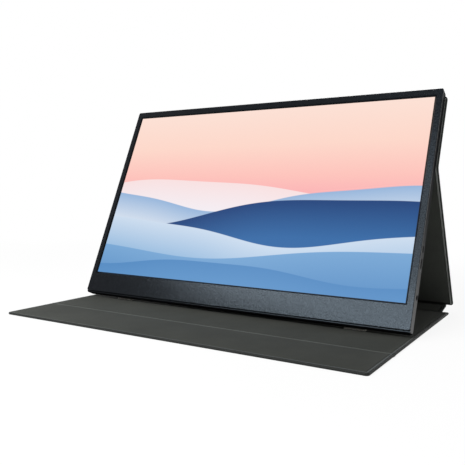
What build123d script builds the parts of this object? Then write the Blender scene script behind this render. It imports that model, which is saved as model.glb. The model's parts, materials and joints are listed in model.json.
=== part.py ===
from build123d import *
from math import asin, atan, cos, degrees, hypot, radians, sin
import os

# A 15.6-inch portable monitor that stands on its folio cover. All sizes are in millimetres.
# X runs along the screen, Y to the back, Z up. The origin lies on the table,
# under the line on which the monitor's two rubber feet stand.

# Screen and its black surround
active_width = 344.2
active_height = 193.6
surround_gap = 0.9
side_bezel = 7.1
top_bezel = 7.9
chin_height = 22.3

# Display module behind the front frame
module_side_border = 3.2
module_top_border = 3.0
module_bottom_border = 8.6
module_play = 0.15
glass_thickness = 1.0
film_thickness = 0.4
guide_thickness = 1.0
reflector_thickness = 0.2
tray_sheet = 0.3
led_bar_width = 4.0
driver_end_margin = 1.0
driver_board_width = 9.0
driver_board_thickness = 0.8

# Housing
face_thickness = 1.3
face_chamfer = 0.35
screen_bevel = 0.8
seam_width = 0.2
upper_thickness = 9.0
lower_thickness = 12.2
bulge_height = 74.0
bulge_ramp = 4.0
lip_drop = 2.0
lip_round = 1.0
housing_wall = 1.5
corner_radius = 2.0
heel_radius = 3.0
rib_thickness = 1.2
rib_spacing = 76.0
rib_count = 4
rib_end_gap = 5.0
rib_front_gap = 0.1
case_boss_radius = 2.4
case_boss_height = 6.5
case_boss_pitch = 66.0
case_boss_count = 6
screw_head_radius = 1.7
screw_head_depth = 0.8
screw_shank_radius = 0.8
screw_length = 5.0
screw_play = 0.05
screw_slot_length = 2.2
screw_slot_width = 0.4

# Circuit boards and what they carry
board_thickness = 1.0
board_standoff = 0.9
board_boss_radius = 2.2
board_edge_gap = 0.6
board_hole_inset = 3.5
main_board_length = 92.0
main_board_bottom = 25.0
main_board_top = 72.0
control_board_width = 15.0
control_board_bottom = 24.0
control_fixing_heights = (36.0, 67.0)
shield_length = 42.0
shield_width = 30.0
shield_height = 2.2
shield_sheet = 0.3
processor_size = 14.0
memory_size = 8.0
chip_height = 1.2
chip_gap = 6.0
ribbon_thickness = 0.3
control_ribbon_width = 6.0
control_ribbon_height = 42.0
display_ribbon_width = 12.0
display_ribbon_bend = 1.8
ribbon_landing = 8.0
lead_radius = 0.45
lead_height = 22.0
lead_bend = 2.0
speaker_length = 38.0
speaker_width = 15.0
speaker_depth = 4.6
speaker_side_gap = 23.4
speaker_bottom = 4.0
grille_slot_width = 1.2
grille_slot_length = 9.0
grille_slot_pitch = 3.2
grille_slot_count = 9

# Controls on the right side, in a row below the top of the bulge
key_depth = 6.2
key_width = 2.0
key_clearance = 0.3
key_proud = 0.3
key_round = 0.25
power_key_drop = 3.0
power_key_length = 5.6
key_gap = 5.6
rocker_length = 8.4
rocker_notch = 0.4
rocker_hub_wall = 0.7
rocker_pin_radius = 0.5
rocker_pin_play = 0.06
rocker_pin_inset = 1.2
rocker_arm = 3.0
lug_thickness = 0.6
lug_gap = 0.3
lug_half_width = 1.2
lug_reach = 2.1
lamp_gap = 2.5
lamp_radius = 0.75
lamp_base = 2.4
flange_margin = 0.9
flange_thickness = 0.8
flange_gap = 0.05
switch_size = 3.4
switch_length = 4.0
switch_gap = 0.45
plunger_radius = 0.8

# Sockets
jack_height = 29.0
jack_depth = 6.6
jack_bore_radius = 1.8
jack_bore_length = 14.0
jack_wall = 0.4
jack_back_wall = 1.2
jack_collar_wall = 0.7
usb_heights = (66.0, 51.5)
usb_length = 8.9
usb_width = 3.2
usb_depth = 7.3
hdmi_height = 34.5
hdmi_length = 11.2
hdmi_width = 3.2
hdmi_depth = 8.0
hdmi_chamfer = 1.0
socket_recess = 0.2
socket_sheet = 0.3
socket_back = 1.0
socket_clearance = 0.25
tongue_thickness = 0.7
tongue_margin = 1.1
tongue_recess = 0.8

# Rubber feet round the rear lower edge
foot_thickness = 1.5
foot_length = 19.0
foot_spacing = 260.0
foot_gap = 0.2
foot_bond = 0.05

# Stand
tilt = 65.9
fold_height = 149.4
leg_length = 156.0
spine_length = 18.5
spine_lift = 11.0

# Folio cover
cover_overhang = 2.0
skin_thickness = 0.6
stiffener_thickness = 1.2
lining_thickness = 0.5
hem_width = 2.8
edge_round = 0.55
flap_length = 56.5
middle_length = 55.5
upper_panel_length = 72.0
cover_corner_radius = 4.0
flap_corner_radius = 3.0
base_corner_radius = 1.0
spine_inset = 7.0
fold_gap = 0.2
score_radius = 0.35
bonded_strip = 0.8
stiffener_play = 0.1
lining_play = 0.05
foot_crease_width = 1.5
magnet_gap = 0.2
heel_play = 7.0

# Magnets and the steel that they hold to
magnet_radius = 5.0
magnet_play = 0.1
magnet_spacing = 30.0
magnet_offset = 85.0
keeper_length = 54.0
keeper_width = 26.0
keeper_thickness = 0.5

os.makedirs("parts", exist_ok=True)

# Sizes that follow from the ones above
panel_thickness = skin_thickness + stiffener_thickness + lining_thickness
body_width = active_width + 2 * side_bezel
face_height = chin_height + active_height + top_bezel
half_width = body_width / 2
rim_depth = face_thickness + seam_width
inner_half_width = half_width - housing_wall
rear_inner = lower_thickness - housing_wall
upper_inner = upper_thickness - housing_wall
module_half_width = active_width / 2 + module_side_border
module_bottom = chin_height - module_bottom_border
module_top = chin_height + active_height + module_top_border
glass_back = face_thickness + glass_thickness
film_back = glass_back + film_thickness
guide_back = film_back + guide_thickness
reflector_back = guide_back + reflector_thickness
tray_back = reflector_back + tray_sheet
driver_back = tray_back + driver_board_thickness
board_back = rear_inner - board_standoff
board_front = board_back - board_thickness
board_screw_back = board_back + 1.5 * board_standoff
case_boss_xs = [(i - (case_boss_count - 1) / 2) * case_boss_pitch for i in range(case_boss_count)]
power_key_height = bulge_height - power_key_drop
rocker_height = power_key_height - power_key_length / 2 - key_gap - rocker_length / 2
lamp_height = rocker_height - rocker_length / 2 - lamp_gap

# The lower rear edge and its feet share one centre line, which stays level as the stand tilts
up_y, up_z = cos(radians(tilt)), sin(radians(tilt))
foot_reach = heel_radius + foot_thickness
foot_s = heel_radius - lip_drop
foot_t = lower_thickness - heel_radius
foot_centre_z = panel_thickness + foot_gap + foot_reach
face_y = -foot_s * up_y - foot_t * up_z
face_z = foot_centre_z - foot_s * up_z + foot_t * up_y
face_plane = Plane((0, face_y, face_z), x_dir=(1, 0, 0), z_dir=(0, -up_z, up_y))
side_plane = Plane((0, face_y, face_z), x_dir=(0, up_z, -up_y), z_dir=(1, 0, 0))

# The fold behind the monitor, then the leg's slope and the two folds at its foot
fold_t = upper_thickness + magnet_gap + panel_thickness
fold_y = face_y + fold_height * up_y + fold_t * up_z
fold_z = face_z + fold_height * up_z - fold_t * up_y
heel_z = panel_thickness + spine_length * sin(radians(spine_lift))
leg_rise = asin((fold_z - heel_z) / hypot(leg_length, panel_thickness))
leg_slope = 180 - degrees(leg_rise - atan(panel_thickness / leg_length))
heel_y = fold_y - leg_length * cos(radians(leg_slope)) - panel_thickness * sin(radians(leg_slope))
hinge_y = heel_y - spine_length * cos(radians(spine_lift))
crease_y = -middle_length


def at_depth(t):
    """The plane parallel to the monitor's face and t behind it, with x across and y up it."""
    return face_plane.offset(-t)


def at_side(x):
    """The plane parallel to the monitor's side at x, with x its depth and y up its face."""
    return side_plane.offset(x)


def slab(x_range, s_range, t_range, mode=Mode.ADD):
    """A flat block of the monitor between two widths, heights and depths."""
    with BuildSketch(at_depth(t_range[1])) as outline:
        with Locations((sum(x_range) / 2, sum(s_range) / 2)):
            Rectangle(x_range[1] - x_range[0], s_range[1] - s_range[0])
    extrude(outline.sketch, amount=t_range[1] - t_range[0], mode=mode)


def post(x, s, t_range, radius, mode=Mode.ADD):
    """A round post or hole square to the monitor's face."""
    with BuildSketch(at_depth(t_range[1])) as outline:
        with Locations((x, s)):
            Circle(radius)
    extrude(outline.sketch, amount=t_range[1] - t_range[0], mode=mode)


def side_slot(s, t, x_range, length, width, mode=Mode.ADD):
    """A round-ended key or opening in the monitor's side, with its length up the side."""
    with BuildSketch(at_side(x_range[0])) as outline:
        with Locations((t, s)):
            SlotOverall(length, width, rotation=90)
    extrude(outline.sketch, amount=x_range[1] - x_range[0], mode=mode)


def side_round(s, t, x_range, radius, mode=Mode.ADD):
    """A round pin or hole square to the monitor's side."""
    with BuildSketch(at_side(x_range[0])) as outline:
        with Locations((t, s)):
            Circle(radius)
    extrude(outline.sketch, amount=x_range[1] - x_range[0], mode=mode)


def save(part, name):
    """Name a finished piece and write it."""
    part.label = name
    export_step(part, f"parts/{name}.step")


# Front frame: a thin face round the screen, with a locating rib and the case bosses behind it
rib_half_width = inner_half_width - module_play
rib_s = (housing_wall + module_play, face_height - housing_wall - module_play)
pocket_half_width = module_half_width + module_play
pocket_s = (module_bottom - module_play, module_top + module_play)
rib_t = (face_thickness, reflector_back)
with BuildPart() as front_frame:
    with BuildSketch(at_depth(face_thickness)):
        with Locations((0, face_height / 2)):
            RectangleRounded(body_width, face_height, corner_radius)
    extrude(amount=face_thickness)
    front_face = front_frame.faces().sort_by(Axis(face_plane.origin, face_plane.z_dir))[-1]
    chamfer(front_face.edges(), face_chamfer)
    slab((-rib_half_width, rib_half_width), rib_s, rib_t)
    slab((-pocket_half_width, pocket_half_width), pocket_s, rib_t, Mode.SUBTRACT)
    slab(
        (rib_thickness - rib_half_width, rib_half_width - rib_thickness),
        (rib_s[0] + rib_thickness, pocket_s[0] - rib_thickness),
        rib_t,
        Mode.SUBTRACT,
    )
    slab(
        (-active_width / 2 - surround_gap, active_width / 2 + surround_gap),
        (chin_height - surround_gap, chin_height + active_height + surround_gap),
        (0, face_thickness),
        Mode.SUBTRACT,
    )
    bezel_face = front_frame.faces().sort_by(Axis(face_plane.origin, face_plane.z_dir))[-1]
    chamfer(bezel_face.inner_wires()[0].edges(), screen_bevel)
    for x in case_boss_xs:
        post(x, case_boss_height, (face_thickness, rear_inner), case_boss_radius)
        boss_bore = (lower_thickness - screw_length - screw_head_depth, rear_inner)
        post(x, case_boss_height, boss_bore, screw_shank_radius + screw_play, Mode.SUBTRACT)
save(front_frame.part, "front_frame")

# Places of the boards and of what they carry
main_board_x = (board_edge_gap - inner_half_width, board_edge_gap - inner_half_width + main_board_length)
flange_back = inner_half_width - flange_gap - flange_thickness
control_board_edge = flange_back - 2 * switch_gap
control_board_x = (control_board_edge - control_board_width, control_board_edge)
control_board_top = bulge_height - housing_wall
main_fixings = [
    (x, s)
    for x in (main_board_x[0] + main_board_length / 3, main_board_x[1] - board_hole_inset)
    for s in (main_board_bottom + board_hole_inset, main_board_top - board_hole_inset)
]
control_fixings = [(control_board_x[0] + board_hole_inset, s) for s in control_fixing_heights]
rocker_pivot_x = inner_half_width - rocker_pin_inset
rocker_back = flange_back - switch_gap / 2
jack_collar_radius = jack_bore_radius + jack_collar_wall
usb_t = board_front - usb_width / 2
hdmi_t = board_front - hdmi_width / 2
lug_inner_ts = (key_depth - key_width / 2 - lug_gap - lug_thickness, key_depth + key_width / 2 + lug_gap)
ribbon_x = main_board_x[1] - ribbon_landing - display_ribbon_width
speaker_offset = rib_half_width - rib_thickness - speaker_side_gap - speaker_length / 2

# Display glass: the liquid-crystal cell with its polarisers
with BuildPart() as display_glass:
    slab(
        (-module_half_width, module_half_width),
        (module_bottom, module_top),
        (face_thickness, glass_back),
    )
save(display_glass.part, "display_glass")

# Backlight behind the glass: films, light guide with its lamp bar below, reflector and tray
layer_x = (tray_sheet - module_half_width, module_half_width - tray_sheet)
layer_s = (module_bottom + tray_sheet, module_top - tray_sheet)
led_top = layer_s[0] + led_bar_width
with BuildPart() as optical_films:
    slab(layer_x, layer_s, (glass_back, film_back))
save(optical_films.part, "optical_films")

with BuildPart() as light_guide:
    slab(layer_x, (led_top, layer_s[1]), (film_back, guide_back))
save(light_guide.part, "light_guide")

with BuildPart() as backlight_led_bar:
    slab(layer_x, (layer_s[0], led_top), (film_back, guide_back))
save(backlight_led_bar.part, "backlight_led_bar")

with BuildPart() as reflector_sheet:
    slab(layer_x, layer_s, (guide_back, reflector_back))
save(reflector_sheet.part, "reflector_sheet")

with BuildPart() as backlight_tray:
    slab(
        (-module_half_width, module_half_width),
        (module_bottom, module_top),
        (glass_back, tray_back),
    )
    slab(layer_x, layer_s, (glass_back, reflector_back), Mode.SUBTRACT)
save(backlight_tray.part, "backlight_tray")

driver_half_length = driver_end_margin - ribbon_x
with BuildPart() as panel_driver_board:
    slab(
        (-driver_half_length, driver_half_length),
        (module_bottom, module_bottom + driver_board_width),
        (tray_back, driver_back),
    )
save(panel_driver_board.part, "panel_driver_board")

# Rear cover: a thin upper back, a deeper lower part that holds the boards, and a lip under the face
with BuildPart() as rear_cover:
    with BuildSketch(side_plane) as side_profile:
        Polygon(
            (rim_depth, -lip_drop),
            (lower_thickness, -lip_drop),
            (lower_thickness, bulge_height),
            (upper_thickness, bulge_height + bulge_ramp),
            (upper_thickness, face_height),
            (rim_depth, face_height),
            align=None,
        )
        fillet(side_profile.vertices().sort_by_distance((rim_depth, -lip_drop))[0], lip_round)
    extrude(amount=half_width, both=True)
    with BuildSketch(at_depth(lower_thickness)):
        with Locations((0, (face_height - lip_drop) / 2)):
            RectangleRounded(body_width, face_height + lip_drop, corner_radius)
    extrude(amount=lower_thickness, mode=Mode.INTERSECT)
    depth_axis = Axis(face_plane.origin, -face_plane.z_dir)
    bulge_back = rear_cover.faces().filter_by(depth_axis).sort_by(depth_axis)[-1]
    ramp_edge = bulge_back.edges().sort_by(Axis(face_plane.origin, face_plane.y_dir))[-1]
    fillet(bulge_back.edges() - ShapeList([ramp_edge]), heel_radius)
    # Inside of the housing
    with BuildSketch(side_plane):
        Polygon(
            (0, housing_wall),
            (rear_inner, housing_wall),
            (rear_inner, bulge_height - housing_wall / 2),
            (upper_inner, bulge_height + bulge_ramp - housing_wall / 2),
            (upper_inner, face_height - housing_wall),
            (0, face_height - housing_wall),
            align=None,
        )
    extrude(amount=inner_half_width, both=True, mode=Mode.SUBTRACT)
    # Ribs that back the display module in the thin upper part
    rib_bottom = bulge_height + bulge_ramp + rib_end_gap
    rib_top = face_height - housing_wall - rib_end_gap
    for i in range(rib_count):
        x = (i - (rib_count - 1) / 2) * rib_spacing
        rib_x = (x - rib_thickness / 2, x + rib_thickness / 2)
        slab(rib_x, (rib_bottom, rib_top), (tray_back + rib_front_gap, upper_inner))
    # Bosses under the boards
    for x, s in main_fixings + control_fixings:
        post(x, s, (board_back, rear_inner), board_boss_radius)
        screw_hole = (board_back, board_screw_back + screw_play)
        post(x, s, screw_hole, screw_shank_radius + screw_play, Mode.SUBTRACT)
    # Lugs for the rocker's pin, one each side of the rocker
    for t in lug_inner_ts:
        slab(
            (inner_half_width - lug_reach, inner_half_width),
            (rocker_height - lug_half_width, rocker_height + lug_half_width),
            (t, t + lug_thickness),
        )
        lug_bore_radius = rocker_pin_radius + screw_play
        lug_bore = (t, t + lug_thickness)
        post(rocker_pivot_x, rocker_height, lug_bore, lug_bore_radius, Mode.SUBTRACT)
    # Counterbored holes for the case screws
    for x in case_boss_xs:
        shank_hole = (rear_inner, lower_thickness)
        head_hole = (lower_thickness - screw_head_depth, lower_thickness)
        post(x, case_boss_height, shank_hole, screw_shank_radius + screw_play, Mode.SUBTRACT)
        post(x, case_boss_height, head_hole, screw_head_radius + screw_play, Mode.SUBTRACT)
    # Openings in the right side for the controls and the headphone socket
    right_wall = (inner_half_width, half_width)
    for s, length in ((power_key_height, power_key_length), (rocker_height, rocker_length)):
        opening_length = length + 2 * key_clearance
        opening_width = key_width + 2 * key_clearance
        side_slot(s, key_depth, right_wall, opening_length, opening_width, Mode.SUBTRACT)
    side_round(lamp_height, key_depth, right_wall, lamp_radius + screw_play, Mode.SUBTRACT)
    collar_hole = jack_collar_radius + screw_play
    side_round(jack_height, jack_depth, right_wall, collar_hole, Mode.SUBTRACT)
    # Openings in the left side for the sockets
    left_wall = (-half_width, -inner_half_width)
    for s in usb_heights:
        opening_length = usb_length + 2 * socket_clearance
        opening_width = usb_width + 2 * socket_clearance
        side_slot(s, usb_t, left_wall, opening_length, opening_width, Mode.SUBTRACT)
    with BuildSketch(at_side(-half_width)):
        with Locations((hdmi_t, hdmi_height)):
            RectangleRounded(
                hdmi_width + 2 * socket_clearance,
                hdmi_length + 2 * socket_clearance,
                socket_clearance + hdmi_chamfer / 2,
            )
    extrude(amount=housing_wall, mode=Mode.SUBTRACT)
    # Speaker grilles: a row of slots through the deep back, behind each speaker
    grille_height = speaker_bottom + speaker_width / 2
    with BuildSketch(at_depth(lower_thickness)):
        with Locations((-speaker_offset, grille_height), (speaker_offset, grille_height)):
            with GridLocations(grille_slot_pitch, grille_slot_pitch, grille_slot_count, 1):
                SlotOverall(grille_slot_length, grille_slot_width, rotation=90)
    extrude(amount=housing_wall, mode=Mode.SUBTRACT)
save(rear_cover.part, "rear_cover")

# Main board, and the shield can over its two chips
with BuildPart() as main_board:
    slab(main_board_x, (main_board_bottom, main_board_top), (board_front, board_back))
    for x, s in main_fixings:
        hole = (board_front, board_back)
        post(x, s, hole, screw_shank_radius + screw_play, Mode.SUBTRACT)
save(main_board.part, "main_board")

shield_right = main_board_x[1] - 2 * board_hole_inset
shield_x = (shield_right - shield_length, shield_right)
shield_middle = (main_board_bottom + main_board_top) / 2
shield_s = (shield_middle - shield_width / 2, shield_middle + shield_width / 2)
with BuildPart() as shield_can:
    slab(shield_x, shield_s, (board_front - shield_height, board_front))
    slab(
        (shield_x[0] + shield_sheet, shield_x[1] - shield_sheet),
        (shield_s[0] + shield_sheet, shield_s[1] - shield_sheet),
        (board_front - shield_height + shield_sheet, board_front),
        Mode.SUBTRACT,
    )
save(shield_can.part, "shield_can")

with BuildPart() as board_chips:
    chip_t = (board_front - chip_height, board_front)
    memory_x = (shield_x[0] + chip_gap, shield_x[0] + chip_gap + memory_size)
    processor_x = (memory_x[1] + chip_gap, memory_x[1] + chip_gap + processor_size)
    for x_range, size in ((memory_x, memory_size), (processor_x, processor_size)):
        slab(x_range, (shield_middle - size / 2, shield_middle + size / 2), chip_t)
save(board_chips.part, "board_chips")

# Two reversible sockets on the left: a round-ended shell, a back wall and a tongue
socket_mouth = socket_recess - half_width
for usb_name, s in zip(("usb_c_socket_upper", "usb_c_socket_lower"), usb_heights):
    with BuildPart() as usb_socket:
        usb_end = socket_mouth + usb_depth
        inner_length, inner_width = usb_length - 2 * socket_sheet, usb_width - 2 * socket_sheet
        side_slot(s, usb_t, (socket_mouth, usb_end), usb_length, usb_width)
        hollow = (socket_mouth, usb_end - socket_back)
        side_slot(s, usb_t, hollow, inner_length, inner_width, Mode.SUBTRACT)
        with BuildSketch(at_side(socket_mouth + tongue_recess)):
            with Locations((usb_t, s)):
                Rectangle(tongue_thickness, usb_length - 2 * tongue_margin)
        extrude(amount=usb_depth - tongue_recess)
    save(usb_socket.part, usb_name)

# Small video socket, with its two front corners cut off
with BuildPart() as mini_hdmi_socket:
    for inset, end, mode in ((0, 0, Mode.ADD), (socket_sheet, socket_back, Mode.SUBTRACT)):
        with BuildSketch(at_side(socket_mouth)) as shell:
            with Locations((hdmi_t, hdmi_height)):
                Rectangle(hdmi_width - 2 * inset, hdmi_length - 2 * inset)
            chamfer(shell.vertices().group_by(Axis.X)[0], hdmi_chamfer)
        extrude(amount=hdmi_depth - end, mode=mode)
    with BuildSketch(at_side(socket_mouth + tongue_recess)):
        with Locations((hdmi_t, hdmi_height)):
            Rectangle(tongue_thickness, hdmi_length - 2 * tongue_margin)
    extrude(amount=hdmi_depth - tongue_recess)
save(mini_hdmi_socket.part, "mini_hdmi_socket")

# Control board at the right side, with the switches behind the keys and the status lamp
with BuildPart() as control_board:
    slab(control_board_x, (control_board_bottom, control_board_top), (board_front, board_back))
    for x, s in control_fixings:
        hole = (board_front, board_back)
        post(x, s, hole, screw_shank_radius + screw_play, Mode.SUBTRACT)
save(control_board.part, "control_board")

switch_tips = [
    (power_key_height, flange_back - switch_gap),
    (rocker_height + rocker_arm, rocker_back - switch_gap),
    (rocker_height - rocker_arm, rocker_back - switch_gap),
]
with BuildPart() as tact_switches:
    for s, tip_x in switch_tips:
        slab(
            (control_board_edge - switch_length, control_board_edge),
            (s - switch_size / 2, s + switch_size / 2),
            (key_depth - switch_size / 2, board_front),
        )
        side_round(s, key_depth, (control_board_edge, tip_x), plunger_radius)
save(tact_switches.part, "tact_switches")

with BuildPart() as status_lamp:
    slab(
        (control_board_edge - lamp_base, control_board_edge),
        (lamp_height - lamp_base / 2, lamp_height + lamp_base / 2),
        (key_depth - lamp_base / 2, board_front),
    )
    side_round(lamp_height, key_depth, (control_board_edge, half_width), lamp_radius)
save(status_lamp.part, "status_lamp")

# Headphone socket: a plain bore in a block, with a collar that fills the hole in the side
with BuildPart() as audio_socket:
    jack_half = jack_bore_radius + jack_wall
    slab(
        (half_width - jack_bore_length - jack_back_wall, inner_half_width),
        (jack_height - jack_half, jack_height + jack_half),
        (jack_depth - jack_half, board_front),
    )
    side_round(jack_height, jack_depth, right_wall, jack_collar_radius)
    bore = (half_width - jack_bore_length, half_width)
    side_round(jack_height, jack_depth, bore, jack_bore_radius, Mode.SUBTRACT)
save(audio_socket.part, "audio_socket")

# Power key: a round-ended cap with a flange that stops inside the wall
key_face = half_width + key_proud
with BuildPart() as power_button:
    flange_x = (flange_back, flange_back + flange_thickness)
    flange_length = power_key_length + 2 * flange_margin
    side_slot(power_key_height, key_depth, flange_x, flange_length, key_width + 2 * flange_margin)
    side_slot(power_key_height, key_depth, (flange_back, key_face), power_key_length, key_width)
    fillet(power_button.faces().sort_by(Axis.X)[-1].edges(), key_round)
save(power_button.part, "power_button")

# Menu rocker: one key with two ends, a notch between them and a hub that turns on a pin
hub_t = (key_depth - key_width / 2, key_depth + key_width / 2)
with BuildPart() as menu_rocker:
    side_slot(rocker_height, key_depth, (rocker_back, key_face), rocker_length, key_width)
    fillet(menu_rocker.faces().sort_by(Axis.X)[-1].edges(), key_round)
    post(rocker_pivot_x, rocker_height, hub_t, rocker_pin_radius + rocker_hub_wall)
    pin_bore_radius = rocker_pin_radius + rocker_pin_play
    post(rocker_pivot_x, rocker_height, hub_t, pin_bore_radius, Mode.SUBTRACT)
    post(key_face, rocker_height, hub_t, rocker_notch, Mode.SUBTRACT)
save(menu_rocker.part, "menu_rocker")

with BuildPart() as rocker_pin:
    pin_t = (lug_inner_ts[0], lug_inner_ts[1] + lug_thickness)
    post(rocker_pivot_x, rocker_height, pin_t, rocker_pin_radius)
save(rocker_pin.part, "rocker_pin")

# Speakers, against the deep back, and the leads from them to the main board
speaker_s = (speaker_bottom, speaker_bottom + speaker_width)
for speaker_name, x in (("speaker_left", -speaker_offset), ("speaker_right", speaker_offset)):
    with BuildPart() as speaker:
        speaker_x = (x - speaker_length / 2, x + speaker_length / 2)
        slab(speaker_x, speaker_s, (rear_inner - speaker_depth, rear_inner))
        vertical_edges = speaker.edges().filter_by(Axis(face_plane.origin, face_plane.z_dir))
        fillet(vertical_edges, speaker_width / 10)
    save(speaker.part, speaker_name)

with BuildPart() as speaker_leads:
    lead_t = board_front - lead_radius
    near_x, far_x = speaker_length / 2 - speaker_offset, speaker_offset - speaker_length / 2
    landing_x = main_board_x[1] - 2 * lead_radius
    landing_s = main_board_bottom + 2
    with BuildLine(at_depth(lead_t)) as far_route:
        FilletPolyline(
            (far_x + lead_bend, speaker_s[1]),
            (far_x + lead_bend, lead_height),
            (landing_x, lead_height),
            (landing_x, landing_s),
            radius=lead_bend,
        )
    with BuildSketch(Plane(far_route.line @ 0, z_dir=far_route.line % 0)):
        Circle(lead_radius)
    sweep()
    with BuildLine(at_depth(lead_t)) as near_route:
        Line((near_x - lead_bend, speaker_s[1]), (near_x - lead_bend, landing_s))
    with BuildSketch(Plane(near_route.line @ 0, z_dir=near_route.line % 0)):
        Circle(lead_radius)
    sweep()
save(speaker_leads.part, "speaker_leads")

# Ribbons: one from the display's driver board, one between the two boards
with BuildPart() as display_ribbon:
    ribbon_start = (driver_back + ribbon_thickness / 2, module_bottom + 1)
    ribbon_end = (board_front - ribbon_thickness / 2, main_board_bottom + ribbon_landing)
    with BuildLine(at_side(ribbon_x + display_ribbon_width / 2)) as ribbon_route:
        FilletPolyline(
            ribbon_start,
            (ribbon_start[0], module_bottom + driver_board_width - 1),
            (ribbon_end[0], main_board_bottom - 2),
            ribbon_end,
            radius=display_ribbon_bend,
        )
    with BuildSketch(
        Plane(ribbon_route.line @ 0, x_dir=(1, 0, 0), z_dir=ribbon_route.line % 0)
    ):
        Rectangle(display_ribbon_width, ribbon_thickness)
    sweep()
save(display_ribbon.part, "display_ribbon")

with BuildPart() as control_ribbon:
    half_ribbon = control_ribbon_width / 2
    slab(
        (main_board_x[1] - ribbon_landing / 2, control_board_x[0] + ribbon_landing / 2),
        (control_ribbon_height - half_ribbon, control_ribbon_height + half_ribbon),
        (board_front - ribbon_thickness, board_front),
    )
save(control_ribbon.part, "control_ribbon")

# Screws of the case, with cross slots, and of the boards
with BuildPart() as case_screws:
    for x in case_boss_xs:
        head_t = (lower_thickness - screw_head_depth, lower_thickness)
        shank_t = (lower_thickness - screw_length, head_t[0])
        post(x, case_boss_height, head_t, screw_head_radius)
        post(x, case_boss_height, shank_t, screw_shank_radius)
        with BuildSketch(at_depth(lower_thickness)):
            with Locations((x, case_boss_height)):
                Rectangle(screw_slot_length, screw_slot_width)
                Rectangle(screw_slot_width, screw_slot_length)
        extrude(amount=screw_head_depth / 2, mode=Mode.SUBTRACT)
save(case_screws.part, "case_screws")

with BuildPart() as board_screws:
    for x, s in main_fixings + control_fixings:
        post(x, s, (board_front - screw_head_depth, board_front), screw_head_radius)
        post(x, s, (board_front, board_screw_back), screw_shank_radius)
save(board_screws.part, "board_screws")

# Rubber feet: bands round the lower rear edge, on its own centre line
for foot_name, x in (("rubber_foot_left", -foot_spacing / 2), ("rubber_foot_right", foot_spacing / 2)):
    with BuildPart() as rubber_foot:
        with BuildSketch(at_side(x)):
            with Locations((foot_t, foot_s)):
                Circle(foot_reach)
                Circle(heel_radius + foot_bond, mode=Mode.SUBTRACT)
                quarter = (Align.MIN, Align.MAX)
                Rectangle(foot_reach, foot_reach, align=quarter, mode=Mode.INTERSECT)
        extrude(amount=foot_length / 2, both=True)
    save(rubber_foot.part, foot_name)

# Steel keepers inside the thin back, for the magnets in the cover
keeper_s = fold_height + upper_panel_length / 2
for keeper_name, x in (("keeper_plate_left", -magnet_offset), ("keeper_plate_right", magnet_offset)):
    with BuildPart() as keeper_plate:
        slab(
            (x - keeper_length / 2, x + keeper_length / 2),
            (keeper_s - keeper_width / 2, keeper_s + keeper_width / 2),
            (upper_inner - keeper_thickness, upper_inner),
        )
    save(keeper_plate.part, keeper_name)


# Folio cover: five panels in a row, each a skin wrapped round a stiffener and a lining
cover_width = body_width + 2 * cover_overhang
half_cover = cover_width / 2
half_spine = half_cover - spine_inset
board_z = (skin_thickness, skin_thickness + stiffener_thickness)
lining_z = (board_z[1], panel_thickness)
magnet_xs = [
    side * magnet_offset + step * magnet_spacing / 2 for side in (-1, 1) for step in (-1, 1)
]


def panel_plane(axis_place, angle, axis_depth):
    """A panel's outer surface: x across it, y away from its fold and z into it.

    The fold's axis (y, z) lies axis_depth inside that surface.
    """
    normal = Vector(0, -sin(radians(angle)), cos(radians(angle)))
    return Plane(Vector(0, *axis_place) - normal * axis_depth, x_dir=(1, 0, 0), z_dir=normal)


def layer(plane, half_width, y_range, z_range, radii=(0, 0), mode=Mode.ADD):
    """One layer of a panel, with the corners of its near and far ends rounded."""
    with BuildSketch(plane.offset(z_range[0])) as outline:
        with Locations((0, sum(y_range) / 2)):
            Rectangle(2 * half_width, y_range[1] - y_range[0])
        rows = outline.vertices().group_by(Axis.Y)
        for corners, radius in ((rows[0], radii[0]), (rows[-1], radii[1])):
            if radius > 0:
                fillet(corners, radius)
    extrude(outline.sketch, amount=z_range[1] - z_range[0], mode=mode)


def inset_radii(radii, inset):
    """Corner radii of a layer that lies inside the panel's edge."""
    return tuple(max(radius - inset, 0) for radius in radii)


def inset_ends(y_range, free_ends, at_edge, at_fold=0):
    """A panel's length, less one margin at each free edge and another at each fold."""
    near = at_edge if free_ends[0] else at_fold
    far = at_edge if free_ends[1] else at_fold
    return (y_range[0] + near, y_range[1] - far)


def score(axis_place):
    """The round groove along a fold, on the fold's own axis."""
    with BuildSketch(Plane((0, *axis_place), x_dir=(0, 1, 0), z_dir=(1, 0, 0))) as groove:
        Circle(score_radius)
    extrude(groove.sketch, amount=cover_width, both=True, mode=Mode.SUBTRACT)


def wrapped_skin(skin, plane, half_width, y_range, radii, free_ends, pockets):
    """A panel's outer sheet with its edges and hems, hollow for stiffeners and lining."""
    layer(plane, half_width, y_range, (0, panel_thickness), radii)
    thickness_axis = Axis(plane.origin, plane.z_dir)
    flat_faces = skin.faces().filter_by(thickness_axis).sort_by(thickness_axis)
    rims = ShapeList()
    for face in (flat_faces[0], flat_faces[-1]):
        edges = face.edges().sort_by(Axis(plane.origin, plane.y_dir))
        first = 0 if free_ends[0] else 1
        last = len(edges) if free_ends[1] else len(edges) - 1
        rims += edges[first:last]
    fillet(rims, edge_round)
    for pocket in pockets:
        pocket_radii = inset_radii(radii, skin_thickness)
        layer(plane, half_width - skin_thickness, pocket, board_z, pocket_radii, Mode.SUBTRACT)
    lining_y = inset_ends(y_range, free_ends, hem_width)
    lining_radii = inset_radii(radii, hem_width)
    layer(plane, half_width - hem_width, lining_y, lining_z, lining_radii, Mode.SUBTRACT)


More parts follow.
